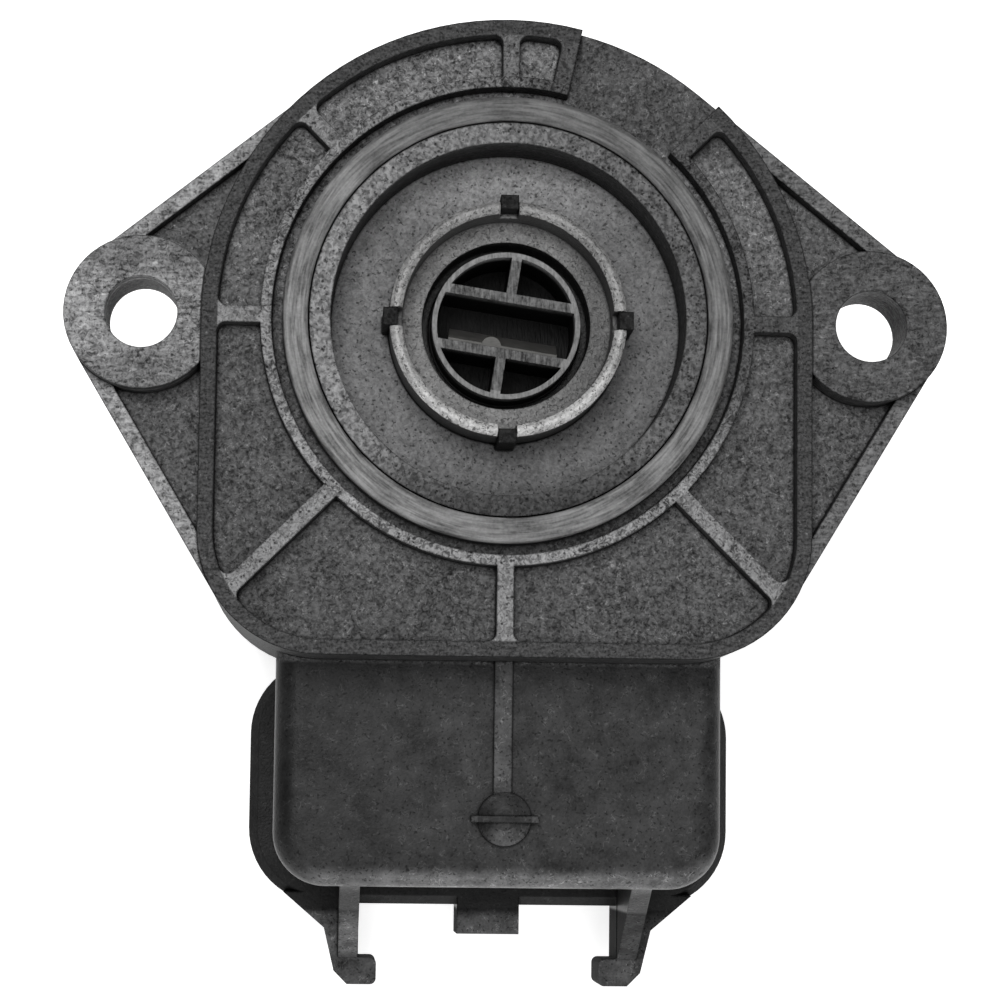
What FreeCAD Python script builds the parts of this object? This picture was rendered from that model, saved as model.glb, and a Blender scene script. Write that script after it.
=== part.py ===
"""Throttle position sensor: moulded housing with two fixing ears, keyed bearing,
sprung rotor with a drive slot, wipers on a track board, and a six-way connector.

Millimetres. The origin is on the mounting face, on the rotor's axis. +Z points out of
the mounting face towards the throttle shaft, and the connector lies towards -Y.
"""
import FreeCAD, Part
import math
import os

Vector = FreeCAD.Vector
AXIS_Z = Vector(0, 0, 1)

# Fixing ears and the webs that tie them to the housing
fixing_pitch = 57.0
fixing_hole_radius = 2.8
ear_radius = 6.0
ear_thickness = 6.0
web_border_width = 1.25
web_border_drop = 1.2
web_pocket_drop = 2.6

# Housing shell, seen from the mounting face
pocket_width = 3.35
rim_width = 1.2
lower_reach = 2.5
corner_radius = 9.6
housing_depth = 20.0
pocket_depth = 1.6
pocket_corner_radius = 0.7
rib_width = 1.3
notch_from_rib = 45
notch_to_rib = 78
rib_angles = (0, notch_from_rib, notch_to_rib, 90, 135, 180, 225, 270, 315)
skirt_wall = 2.6
floor_thickness = 2.0
root_depth = 0.5

# Recess, pilot, seal and ring rib round the bearing insert, each a width from the last one
recess_width = 4.59
recess_depth = 4.4
pilot_wall = 1.63
pilot_proud = 0.4
seal_play = 0.1
seal_width = 1.95
seal_proud = 0.7
groove_gap = 0.9
ring_rib_width = 0.85

# Bearing insert with its four keys
insert_lip_gap = 0.63
insert_lip_width = 1.62
insert_wall = 0.98
insert_mouth_depth = 3.3
insert_lip_height = 3.4
insert_length = 9.95
insert_chamfer = 0.35
insert_play = 0.04
key_angles = (0, 90, 180, 270)
key_width = 1.4
key_reach = 0.45
key_depth = 2.0
key_drop = 0.1
bearing_tube_wall = 1.5

# Rotor
rotor_rest_angle = -8.5
rotor_travel = 100.0
rotor_front_drop = 3.2
rotor_tube_radius = 5.87
rotor_tube_wall = 0.4
journal_shoulder = 0.18
journal_clearance = 0.05
journal_step = 0.2
slot_gap = 3.7
slot_wall = 0.75
slot_rib_width = 0.8
cup_depth = 6.4
flange_thickness = 2.0
spigot_radius = 2.6
spigot_clearance = 0.05
spigot_seat = 1.0
spigot_end_gap = 0.2
stop_tab_angle = 14.0
stop_tab_reach = 1.5
stop_gap_angle = 1.0
stop_block_angle = 8.0
stop_radial_gap = 0.35

# Return spring, a flat spiral between the bearing tube and a peg on the flange
axial_play = 0.05
spring_gap = 0.3
spring_strip = 0.25
spring_pitch = 0.5
spring_half_turns = 2
spring_tang = 0.9
spring_slot_play = 0.05
peg_gap = 0.1
peg_depth = 0.8
peg_width = 1.2

# Drive leaf spring in the rotor's slot
leaf_length = 8.7
leaf_thickness = 0.2
leaf_depth = 5.4
leaf_bow_place = 4.3
leaf_rise = 1.4
leaf_front_drop = 0.25
leaf_play = 0.03
leaf_tab_radius = 0.8
leaf_tab_offset = -0.9

# Wipers and the track board, with the tracks printed on its front
wiper_thickness = 0.25
wiper_finger_width = 0.5
wiper_finger_gap = 0.3
wiper_finger_length = 6.5
wiper_contact_gap = 0.05
wiper_arms = 2
board_thickness = 1.0
board_gap = 1.2
board_upper_edge = 12.6
board_play = 0.5
board_bore_gap = 1.6
track_width = 1.2
track_gap = 0.5
post_inset = 6.7
upper_post_angle = 36.5
post_width = 3.4
stake_width = 1.8
stake_play = 0.1
stake_head_height = 0.5
stake_head_width = 2.8

# Rear cover
cover_thickness = 1.8
cover_ledge = 1.2
cover_play = 0.15

# Connector back, facing the mounting side
back_half_width = 17.7
back_reach = 17.8
back_face_drop = 6.0
back_corner_radius = 4.2
back_edge_radius = 1.9
back_rib_width = 1.4
back_rib_height = 0.45
back_rib_length = 10.45
back_rib_side = 0.27
boss_reach = 12.4
boss_side = 0.45
boss_radius = 2.1
boss_height = 0.5
boss_crown = 0.5
boss_flat_radius = 0.9
boss_bar_length = 5.3
boss_bar_width = 0.5

# Connector shroud, facing away from the mounting side
shroud_side_step = 2.2
shroud_lower_step = 1.65
shroud_upper_step = 0.75
shroud_corner_radius = 6.2
shroud_length = 7.5
shroud_chamfer = 0.7
shroud_wall = 1.8
socket_mouth_depth = 6.9
socket_depth = 15.5
socket_step = 1.3
key_rib_place = 8.0
key_rib_width = 1.6
key_rib_height = 1.0

# Guide rails and latch tab below the shroud
rail_outer_place = 12.7
rail_thickness = 2.0
rail_reach = 6.6
rail_foot_height = 2.2
rail_foot_reach = 1.5
rail_foot_chamfer = 1.1
rail_tip_radius = 0.5
rail_flare_width = 4.25
rail_flare_reach = 2.0
rail_side_slope = 0.85
rail_end_inset = 1.0
gusset_thickness = 1.6
gusset_inset = 0.35
latch_half_width = 2.57
latch_reach = 2.4

# Terminals
terminal_count = 6
terminal_pitch = 4.6
terminal_width = 2.0
terminal_thickness = 0.8
terminal_recess = 3.5
terminal_embed = 1.8
terminal_board_inset = 1.6
terminal_stand_out = 0.5
terminal_hole_play = 0.15

# Radii worked out from the rotor outwards
journal_radius = rotor_tube_radius + journal_shoulder
insert_lip_radius = journal_radius + insert_lip_gap
insert_mouth_radius = insert_lip_radius + insert_lip_width
insert_radius = insert_mouth_radius + insert_wall
insert_bore_radius = insert_radius + insert_play
bearing_tube_radius = insert_bore_radius + bearing_tube_wall
recess_radius = insert_radius + recess_width
pilot_radius = recess_radius + pilot_wall
seal_outer_radius = pilot_radius + seal_play + seal_width
groove_radius = seal_outer_radius + groove_gap
ring_rib_radius = groove_radius + ring_rib_width
rim_radius = ring_rib_radius + pocket_width + rim_width
spring_radius = bearing_tube_radius + spring_gap + spring_strip / 2
spring_outer_radius = spring_radius + (spring_half_turns * spring_pitch + spring_strip) / 2
flange_radius = spring_outer_radius + peg_gap + peg_depth
board_bore_radius = spigot_radius + board_bore_gap

# Places below the shaft, as distances from its axis
lower_edge = rim_radius + lower_reach
back_lower_edge = lower_edge + back_reach
boss_place = -lower_edge - boss_reach
shroud_half_width = back_half_width + shroud_side_step
shroud_lower_edge = back_lower_edge + shroud_lower_step
shroud_upper_edge = lower_edge - shroud_upper_step
socket_half_width = shroud_half_width - shroud_wall
socket_lower_edge = shroud_lower_edge - shroud_wall
socket_upper_edge = shroud_upper_edge + shroud_wall
terminal_row = (socket_lower_edge + socket_upper_edge) / 2
rail_lower_edge = shroud_lower_edge + rail_reach
latch_lower_edge = shroud_lower_edge + latch_reach
tail_place = -(lower_edge - skirt_wall) + terminal_board_inset

# Levels
pocket_floor = -pocket_depth
recess_floor = -recess_depth
inner_ceiling = recess_floor - floor_thickness
outer_ceiling = pocket_floor - floor_thickness
insert_top = pilot_proud
insert_rear = insert_top - insert_length
insert_lip_top = -insert_mouth_depth
insert_bearing_top = insert_lip_top - insert_lip_height
rotor_front = -rotor_front_drop
cup_floor = rotor_front - cup_depth
flange_front = min(cup_floor, insert_rear - axial_play)
flange_rear = flange_front - flange_thickness
cover_rear = -housing_depth
cover_front = cover_rear + cover_thickness
board_rear = cover_front + board_gap
board_front = board_rear + board_thickness
spigot_rear = cover_front - spigot_seat
shroud_front = -housing_depth
shroud_rear = shroud_front - shroud_length
socket_floor = shroud_rear + socket_depth
rail_rear = shroud_rear + rail_end_inset


def polar(radius, degrees, z=0.0):
    a = math.radians(degrees)
    return Vector(radius * math.cos(a), radius * math.sin(a), z)


def cylinder(radius, z_low, z_high, x=0.0, y=0.0):
    return Part.makeCylinder(radius, z_high - z_low, Vector(x, y, z_low), AXIS_Z)


def tube(outer, inner, z_low, z_high):
    return cylinder(outer, z_low, z_high).cut(cylinder(inner, z_low, z_high))


def block(x_low, x_high, y_low, y_high, z_low, z_high):
    corner = Vector(x_low, y_low, z_low)
    return Part.makeBox(x_high - x_low, y_high - y_low, z_high - z_low, corner)


def polygon_prism(points, z_low, z_high):
    corners = [Vector(x, y, z_low) for x, y in points]
    face = Part.Face(Part.makePolygon(corners + corners[:1]))
    return face.extrude(Vector(0, 0, z_high - z_low))


def prism(wire, height):
    return Part.Face(wire).extrude(Vector(0, 0, height))


def sector(inner, outer, from_angle, to_angle, z_low, z_high):
    """A ring segment between two radii and two angles."""
    ring = Part.makeCylinder(outer, z_high - z_low, Vector(0, 0, z_low), AXIS_Z,
                             to_angle - from_angle)
    ring.rotate(Vector(), AXIS_Z, from_angle)
    return ring.cut(cylinder(inner, z_low, z_high))


def radial_bar(angle, inner, outer, width, z_low, z_high):
    bar = block(inner, outer, -width / 2, width / 2, z_low, z_high)
    bar.rotate(Vector(), AXIS_Z, angle)
    return bar


def mirrored_x(shape):
    return shape.mirror(Vector(), Vector(1, 0, 0))


def fuse_all(shapes):
    return shapes[0].multiFuse(shapes[1:]).removeSplitter()


def upright_corners(shape):
    """The edges along Z where two faces meet at an angle."""
    found = []
    for edge in shape.Edges:
        if len(edge.Vertexes) != 2:
            continue
        run = edge.Vertexes[1].Point - edge.Vertexes[0].Point
        if abs(run.z) < 1e-6 or math.hypot(run.x, run.y) > 1e-6:
            continue
        middle = edge.Vertexes[0].Point + run * 0.5
        normals = []
        for face in shape.ancestorsOfType(edge, Part.Face):
            u, v = face.Surface.parameter(middle)
            normals.append(face.normalAt(u, v))
        if len(normals) == 2 and normals[0].getAngle(normals[1]) > math.radians(15):
            found.append(edge)
    return found


def edges_at_level(shape, z):
    """The edges that lie wholly at one height."""
    return [e for e in shape.Edges if abs(e.BoundBox.ZMin - z) < 1e-4 and abs(e.BoundBox.ZMax - z) < 1e-4]


def arc(start, middle, end):
    return Part.Arc(start, middle, end).toShape()


def line(start, end):
    return Part.LineSegment(start, end).toShape()


def housing_outline(inset, z):
    """The housing's outline: a half circle above the shaft, square below with round corners."""
    side = rim_radius - inset
    low = -(lower_edge - inset)
    corner = corner_radius - inset
    bend = corner * (1 - math.sqrt(0.5))
    right_top = Vector(side, 0, z)
    left_top = Vector(-side, 0, z)
    left_low = Vector(-side, low + corner, z)
    low_left = Vector(-side + corner, low, z)
    low_right = Vector(side - corner, low, z)
    right_low = Vector(side, low + corner, z)
    return Part.Wire([
        arc(right_top, Vector(0, side, z), left_top),
        line(left_top, left_low),
        arc(left_low, Vector(-side + bend, low + bend, z), low_left),
        line(low_left, low_right),
        arc(low_right, Vector(side - bend, low + bend, z), right_low),
        line(right_low, right_top),
    ])


def rounded_rectangle(half_width, y_low, y_high, radius, z):
    bend = radius * (1 - math.sqrt(0.5))
    corners = []
    for sx, sy in ((1, 1), (-1, 1), (-1, -1), (1, -1)):
        x = sx * half_width
        y = y_high if sy > 0 else y_low
        on_side = Vector(x, y - sy * radius, z)
        on_end = Vector(x - sx * radius, y, z)
        middle = Vector(x - sx * bend, y - sy * bend, z)
        corners.append((on_side, middle, on_end) if sx == sy else (on_end, middle, on_side))
    edges = []
    for i, (start, middle, end) in enumerate(corners):
        edges.append(arc(start, middle, end))
        edges.append(line(end, corners[(i + 1) % 4][0]))
    return Part.Wire(edges)


def apron_outline(half_width, y_low, y_high, radius, z):
    """A rectangle with square upper corners and round lower ones."""
    bend = radius * (1 - math.sqrt(0.5))
    left_low = Vector(-half_width, y_low + radius, z)
    low_left = Vector(-half_width + radius, y_low, z)
    low_right = Vector(half_width - radius, y_low, z)
    right_low = Vector(half_width, y_low + radius, z)
    left_top = Vector(-half_width, y_high, z)
    right_top = Vector(half_width, y_high, z)
    return Part.Wire([
        line(left_top, left_low),
        arc(left_low, Vector(-half_width + bend, y_low + bend, z), low_left),
        line(low_left, low_right),
        arc(low_right, Vector(half_width - bend, y_low + bend, z), right_low),
        line(right_low, right_top),
        line(right_top, left_top),
    ])


def touching_line(first, first_radius, second, second_radius, side):
    """Where the line that touches two circles on one side meets each of them."""
    across = (second[0] - first[0], second[1] - first[1])
    spread = math.hypot(across[0], across[1])
    turn = math.acos((first_radius - second_radius) / spread)
    a = math.atan2(across[1], across[0]) + side * turn
    return [(x + radius * math.cos(a), y + radius * math.sin(a))
            for (x, y), radius in ((first, first_radius), (second, second_radius))]


def left_web(inset, z_low, z_high):
    """The left web as a plate: its edges touch the ear, the rim and the housing's corner."""
    ear = (-fixing_pitch / 2, 0.0)
    shaft = (0.0, 0.0)
    corner = (corner_radius - rim_radius, corner_radius - lower_edge)
    upper = touching_line(ear, ear_radius - inset, shaft, rim_radius - inset, 1)
    lower = touching_line(ear, ear_radius - inset, corner, corner_radius - inset, -1)
    return polygon_prism([ear, *upper, shaft, corner, *reversed(lower)], z_low, z_high)


def ear_and_web():
    """The left fixing ear with its ribbed web."""
    rear = -ear_thickness
    web = left_web(0.0, rear, -web_border_drop)
    hollow = left_web(web_border_width, -web_pocket_drop, -web_border_drop)
    ear = cylinder(ear_radius, rear, 0.0, -fixing_pitch / 2)
    return web.cut(hollow).fuse(ear)


def face_pockets():
    """The shallow pockets between the rim, the ring rib and the radial ribs."""
    top = pilot_proud
    field = prism(housing_outline(rim_width, pocket_floor), top - pocket_floor)
    field = field.cut(cylinder(ring_rib_radius, pocket_floor, top))
    far = rim_radius + lower_edge
    for angle in rib_angles:
        field = field.cut(radial_bar(angle, 0.0, far, rib_width, pocket_floor, top))
    field = field.cut(open_sector(pilot_radius, far))
    # Only the corners at the rim are rounded, those at the ring rib are sharp
    between = ring_rib_radius + pocket_width / 2
    at_rim = [e for e in upright_corners(field)
              if math.hypot(e.Vertexes[0].X, e.Vertexes[0].Y) > between]
    return field.makeFillet(pocket_corner_radius, at_rim)


def open_sector(inner, outer):
    """The part of the face between the two ribs that bound the notch."""
    return sector(inner, outer, notch_from_rib, notch_to_rib, pocket_floor, pilot_proud)


def notch():
    """The open sector where the rim and ring rib are left out between two ribs."""
    outer = rim_radius + rim_width
    space = open_sector(pilot_radius, outer)
    for angle in (notch_from_rib, notch_to_rib):
        space = space.cut(radial_bar(angle, 0.0, outer, rib_width, pocket_floor, pilot_proud))
    return space


def chamber():
    """The hollow behind the face, open at the rear where the cover sits on a ledge."""
    wide = prism(housing_outline(skirt_wall, cover_rear), outer_ceiling - cover_rear)
    core = cylinder(pilot_radius, inner_ceiling, outer_ceiling)
    seat = prism(housing_outline(skirt_wall - cover_ledge, cover_rear), cover_thickness)
    return wide.cut(core).fuse(seat)


def post_places():
    """Where the four posts stand: two above the shaft and two in the lower corners."""
    upper = polar(rim_radius - post_inset, upper_post_angle)
    lower = Vector(rim_radius - post_inset, -(lower_edge - post_inset), 0)
    return [(side * place.x, place.y) for place in (upper, lower) for side in (-1, 1)]


def square_post(width, place, z_low, z_high):
    x, y = place
    return block(x - width / 2, x + width / 2, y - width / 2, y + width / 2, z_low, z_high)


def board_posts():
    """Posts that carry the track board, with their staked heads."""
    posts = []
    for place in post_places():
        posts.append(square_post(post_width, place, board_front, outer_ceiling + root_depth))
        posts.append(square_post(stake_width, place, board_rear, board_front))
        posts.append(square_post(stake_head_width, place, board_rear - stake_head_height, board_rear))
    return posts


def stop_blocks():
    """Two blocks inside the chamber that end the rotor's travel."""
    inner = flange_radius + stop_radial_gap
    outer = pilot_radius
    blocks = []
    first = stop_tab_middle() - stop_tab_angle / 2 - stop_gap_angle
    second = stop_tab_middle() + stop_tab_angle / 2 + stop_gap_angle + rotor_travel
    for start in (first - stop_block_angle, second):
        blocks.append(sector(inner, outer, start, start + stop_block_angle,
                             flange_rear, inner_ceiling + root_depth))
    return blocks


def stop_tab_middle():
    return 180.0 + rotor_rest_angle


def back_of_connector():
    """The rounded connector back with its rib and gate boss."""
    front = -back_face_drop
    rear = shroud_front - shroud_chamfer
    upper = -(lower_edge - skirt_wall)
    back = prism(apron_outline(back_half_width, -back_lower_edge, upper, back_corner_radius, rear),
                 front - rear)
    edges = [e for e in edges_at_level(back, front) if e.BoundBox.YMin < upper - back_edge_radius]
    back = back.makeFillet(back_edge_radius, edges)
    rib = block(back_rib_side - back_rib_width / 2, back_rib_side + back_rib_width / 2,
                -lower_edge - back_rib_length, upper, front - back_rib_height, front + back_rib_height)
    shoulder = front + boss_height
    boss = cylinder(boss_radius, front - boss_height, shoulder, boss_side, boss_place)
    crown = Part.makeCone(boss_radius, boss_flat_radius, boss_crown,
                          Vector(boss_side, boss_place, shoulder), AXIS_Z)
    bar = block(boss_side - boss_bar_length / 2, boss_side + boss_bar_length / 2,
                boss_place - boss_bar_width / 2, boss_place + boss_bar_width / 2, front - boss_height,
                shoulder + boss_crown + boss_bar_width / 2)
    return [back, rib, boss, crown, bar]


def shroud():
    """The wide mouth of the connector, behind its rounded back."""
    mouth = prism(rounded_rectangle(shroud_half_width, -shroud_lower_edge, -shroud_upper_edge,
                                    shroud_corner_radius, shroud_rear), shroud_length)
    return mouth.makeChamfer(shroud_chamfer, edges_at_level(mouth, shroud_front))


def socket_space(inset, depth):
    """One step of the socket, open at the shroud's rear end."""
    outline = rounded_rectangle(socket_half_width - inset, -socket_lower_edge + inset,
                                -socket_upper_edge - inset,
                                shroud_corner_radius - shroud_wall - inset, shroud_rear)
    return prism(outline, depth)


def socket():
    """The space that takes the mating plug, wide at the mouth and narrow at the pins."""
    space = socket_space(0.0, socket_mouth_depth).fuse(socket_space(socket_step, socket_depth))
    key_low = -socket_upper_edge - socket_step - key_rib_height
    for side in (-1, 1):
        middle = side * key_rib_place
        space = space.cut(block(middle - key_rib_width / 2, middle + key_rib_width / 2,
                                key_low, -shroud_upper_edge, shroud_rear, socket_floor))
    return space


def left_rail():
    """An L-shaped guide rail on the left, with the sloping gusset in front of it."""
    outer = -rail_outer_place
    inner = outer + rail_thickness
    tip = inner + rail_foot_reach
    top = -shroud_lower_edge + shroud_wall / 2
    low = -rail_lower_edge
    foot_top = low + rail_foot_height
    profile = [(outer, top), (outer, low + rail_foot_chamfer), (outer + rail_foot_chamfer, low),
               (tip, low), (tip, foot_top), (inner, foot_top), (inner, top)]
    rail = polygon_prism(profile, rail_rear, shroud_front)
    tip_edges = [e for e in upright_corners(rail) if abs(e.Vertexes[0].Point.x - tip) < 1e-6]
    rail = rail.makeFillet(rail_tip_radius, tip_edges)
    # The outer side slopes, and a flare runs it into the shroud
    middle = outer + rail_thickness / 2
    flare = polygon_prism([(outer - rail_flare_width, top),
                           (outer - rail_side_slope, -shroud_lower_edge - rail_flare_reach),
                           (outer, low + rail_foot_chamfer), (middle, low + rail_foot_chamfer),
                           (middle, top)], rail_rear, shroud_front)
    gusset_outer = outer + gusset_inset
    edge_y = -back_lower_edge + back_edge_radius
    edge_z = -back_face_drop - back_edge_radius
    side = Part.makePolygon([
        Vector(gusset_outer, edge_y, edge_z + back_edge_radius / 2),
        Vector(gusset_outer, -back_lower_edge, edge_z),
        Vector(gusset_outer, foot_top, shroud_front),
        Vector(gusset_outer, foot_top, rail_rear),
        Vector(gusset_outer, edge_y, rail_rear),
        Vector(gusset_outer, edge_y, edge_z + back_edge_radius / 2),
    ])
    gusset = Part.Face(side).extrude(Vector(gusset_thickness, 0, 0))
    return [rail, flare, gusset]


def latch_tab():
    return block(-latch_half_width, latch_half_width, -latch_lower_edge,
                 -shroud_lower_edge + shroud_wall / 2, rail_rear, shroud_front)


def insert_keys():
    """Four housing keys that hold the bearing insert from turning."""
    top = insert_top - key_drop
    keys = []
    for angle in key_angles:
        keys.append(radial_bar(angle, insert_radius, insert_bore_radius + key_reach, key_width,
                               recess_floor, top))
        keys.append(radial_bar(angle, insert_mouth_radius + insert_chamfer, insert_bore_radius,
                               key_width, top - key_depth, top))
    return keys


def terminal_bar(index, play=0.0):
    """One terminal: a blade in the socket, a run through the wall, and a tail to the board."""
    x = terminal_x(index)
    half = terminal_thickness / 2 + play
    run_z = socket_floor + terminal_embed
    tip_z = shroud_rear + terminal_recess
    tail_z = board_rear - terminal_stand_out
    points = [(-terminal_row - half, tip_z), (-terminal_row - half, run_z + half),
              (tail_place + half, run_z + half), (tail_place + half, tail_z),
              (tail_place - half, tail_z), (tail_place - half, run_z - half),
              (-terminal_row + half, run_z - half), (-terminal_row + half, tip_z)]
    width = terminal_width + 2 * play
    corners = [Vector(x - width / 2, y, z) for y, z in points]
    face = Part.Face(Part.makePolygon(corners + corners[:1]))
    return face.extrude(Vector(width, 0, 0))


def terminal_x(index):
    return (index - (terminal_count - 1) / 2) * terminal_pitch


def housing():
    body = prism(housing_outline(0.0, cover_rear), housing_depth)
    pilot = cylinder(pilot_radius, pocket_floor - floor_thickness, pilot_proud)
    left = ear_and_web()
    outside = [body, pilot, left, mirrored_x(left), shroud(), latch_tab()]
    outside += back_of_connector()
    for piece in left_rail():
        outside += [piece, mirrored_x(piece)]
    shape = fuse_all(outside)

    cuts = [chamber(), face_pockets(), socket(), notch()]
    cuts.append(tube(groove_radius, pilot_radius, pocket_floor, pilot_proud))
    cuts.append(cylinder(recess_radius, recess_floor, pilot_proud))
    cuts.append(cylinder(insert_bore_radius, inner_ceiling, recess_floor))
    for side in (-1, 1):
        cuts.append(cylinder(fixing_hole_radius, -ear_thickness, 0.0, side * fixing_pitch / 2))
    for cut in cuts:
        shape = shape.cut(cut)

    bearing_tube = tube(bearing_tube_radius, insert_bore_radius, insert_rear, inner_ceiling)
    slot_low = bearing_tube_radius - spring_tang - spring_slot_play
    spring_slot = block(slot_low, bearing_tube_radius, -spring_strip - spring_slot_play,
                        spring_slot_play, insert_rear, inner_ceiling)
    inside = [bearing_tube.cut(spring_slot)]
    inside += board_posts()
    inside += stop_blocks()
    inside += insert_keys()
    shape = fuse_all([shape] + inside)
    for index in range(terminal_count):
        shape = shape.cut(terminal_bar(index))
    return shape


def mounting_seal():
    """The flat rubber ring that seals against the throttle body."""
    return tube(seal_outer_radius, pilot_radius + seal_play, pocket_floor, seal_proud)


def revolved(profile):
    """A ring from its half section of radius and height."""
    corners = [Vector(r, 0, z) for r, z in profile]
    return Part.Face(Part.makePolygon(corners + corners[:1])).revolve(Vector(), AXIS_Z, 360)


def bearing_insert():
    """The stepped bush that the rotor runs in, slotted for the housing's keys."""
    bore = journal_radius + journal_clearance
    bush = revolved([(bore, insert_rear), (insert_radius, insert_rear),
                     (insert_radius, insert_top - insert_chamfer),
                     (insert_radius - insert_chamfer, insert_top),
                     (insert_mouth_radius + insert_chamfer, insert_top),
                     (insert_mouth_radius, insert_top - insert_chamfer),
                     (insert_mouth_radius, insert_lip_top), (insert_lip_radius, insert_lip_top),
                     (insert_lip_radius, insert_bearing_top), (bore, insert_bearing_top)])
    slot_low = insert_top - key_drop - key_depth
    for angle in key_angles:
        slot = radial_bar(angle, insert_lip_radius, insert_radius + key_reach,
                          key_width + 2 * insert_play, slot_low, insert_top)
        bush = bush.cut(slot)
    return bush


def rotor():
    """The turning piece: slotted tube, journal, flange with its stop tab, and spigot."""
    inner = rotor_tube_radius - rotor_tube_wall
    wall_middle = inner + rotor_tube_wall / 2
    step = insert_bearing_top - journal_step
    tab = sector(journal_radius, flange_radius + stop_tab_reach, 180 - stop_tab_angle / 2,
                 180 + stop_tab_angle / 2, flange_rear, flange_front)
    shape = fuse_all([cylinder(rotor_tube_radius, step, rotor_front),
                      cylinder(journal_radius, flange_rear, step),
                      cylinder(flange_radius, flange_rear, flange_front),
                      cylinder(spigot_radius, spigot_rear, flange_rear), tab])
    shape = shape.cut(cylinder(inner, cup_floor, rotor_front))
    near = slot_gap / 2
    far = near + slot_wall
    walls = block(-wall_middle, wall_middle, -far, far, cup_floor, rotor_front)
    ribs = block(-slot_rib_width / 2, slot_rib_width / 2, -wall_middle, wall_middle,
                 cup_floor, rotor_front)
    slot = block(-wall_middle, wall_middle, -near, near, cup_floor, rotor_front)
    inside = walls.fuse(ribs).cut(slot).common(cylinder(wall_middle, cup_floor, rotor_front))
    return fuse_all([turned(fuse_all([shape, inside])), spring_peg()])


def turned(shape):
    """Turns a rotor piece to the angle at which the spring leaves it."""
    shape.rotate(Vector(), AXIS_Z, rotor_rest_angle)
    return shape


def crosswise(side, x_low, x_high, y_low, y_high, z_low, z_high):
    """A block at the spring's outer end, turned half round where that end lies on the left."""
    piece = block(x_low, x_high, y_low, y_high, z_low, z_high)
    piece.rotate(Vector(), AXIS_Z, 0 if side > 0 else 180)
    return piece


def spring_end():
    """The side on which the spiral ends, and the radius of the strip's middle there."""
    side = -1 if spring_half_turns % 2 else 1
    grown = spring_half_turns - 1 if side < 0 else spring_half_turns
    return side, spring_radius + grown * spring_pitch / 2


def spring_peg():
    """The peg on the flange that takes the spring's outer tang along."""
    side, _ = spring_end()
    return crosswise(side, spring_outer_radius + peg_gap, flange_radius - peg_gap,
                     -peg_gap - peg_width, -peg_gap, flange_front, inner_ceiling - 2 * axial_play)


def return_spring():
    """A flat spiral strip: its inner tang sits in the bearing tube, its outer tang on the peg."""
    rear = flange_front + axial_play
    front = inner_ceiling - axial_play
    grow = spring_pitch / 2
    half = spring_strip / 2
    pieces = [block(bearing_tube_radius - spring_tang, spring_radius + half, -spring_strip, 0.0,
                    rear, front)]
    for turn in range(spring_half_turns):
        radius = spring_radius + turn * grow
        strip = sector(radius - half, radius + half, 180 * turn, 180 * turn + 180, rear, front)
        # Each lower half swings round a centre moved by one step, so the strip runs on smoothly
        strip.translate(Vector(grow * (turn % 2), 0, 0))
        pieces.append(strip)
    side, end_radius = spring_end()
    pieces.append(crosswise(side, end_radius - half, flange_radius - peg_gap, 0.0, spring_strip,
                            rear, front))
    return fuse_all(pieces)


def drive_leaf_spring():
    """A bent leaf that takes up play between the shaft's blade and the slot."""
    seat = -slot_gap / 2 + leaf_play
    front = rotor_front - leaf_front_drop
    middle = front - leaf_bow_place
    rear = front - leaf_depth
    profile = [(seat, front), (seat + leaf_rise, middle), (seat, rear),
               (seat + leaf_thickness, rear), (seat + leaf_rise + leaf_thickness, middle),
               (seat + leaf_thickness, front)]
    corners = [Vector(-leaf_length / 2, y, z) for y, z in profile]
    leaf = Part.Face(Part.makePolygon(corners + corners[:1])).extrude(Vector(leaf_length, 0, 0))
    disc = cylinder(leaf_tab_radius, front - leaf_thickness, front, leaf_tab_offset, seat)
    keep = block(leaf_tab_offset - leaf_tab_radius, leaf_tab_offset + leaf_tab_radius, seat,
                 seat + leaf_tab_radius, front - leaf_thickness, front)
    return turned(leaf.fuse(disc.common(keep)).removeSplitter())


def track_radius(index):
    return board_bore_radius + track_gap + index * (track_width + track_gap)


def wiper(first_track, facing):
    """A two-armed contact: a base strip on the flange and fingers bent down to two tracks."""
    base_rear = flange_rear - wiper_thickness
    tip = board_front + wiper_contact_gap
    inner = track_radius(first_track)
    outer = track_radius(first_track + wiper_arms - 1) + track_width
    start_y = -wiper_finger_length / 2
    end_y = wiper_finger_length / 2
    fingers = [block(inner, outer, start_y - track_width, start_y, base_rear, flange_rear)]
    profile = [(start_y - track_width / 2, base_rear), (start_y - track_width / 2, flange_rear),
               (start_y, flange_rear), (end_y, tip + wiper_thickness), (end_y, tip),
               (start_y, base_rear)]
    for arm in range(wiper_arms):
        middle = track_radius(first_track + arm) + track_width / 2
        for side in (-1, 1):
            x = middle + side * (wiper_finger_width + wiper_finger_gap) / 2
            corners = [Vector(x - wiper_finger_width / 2, y, z) for y, z in profile]
            finger = Part.Face(Part.makePolygon(corners + corners[:1]))
            fingers.append(finger.extrude(Vector(wiper_finger_width, 0, 0)))
    shape = fuse_all(fingers)
    shape.rotate(Vector(), AXIS_Z, facing)
    return turned(shape)


def track_board():
    """The board that carries the tracks, staked to the housing's posts."""
    plate = prism(housing_outline(skirt_wall + board_play, board_rear), board_thickness)
    plate = plate.common(block(-rim_radius, rim_radius, -lower_edge, board_upper_edge,
                               board_rear, board_front))
    plate = plate.cut(cylinder(board_bore_radius, board_rear, board_front))
    for place in post_places():
        plate = plate.cut(square_post(stake_width + 2 * stake_play, place, board_rear, board_front))
    for index in range(terminal_count):
        plate = plate.cut(terminal_bar(index, terminal_hole_play))
    return plate


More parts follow.
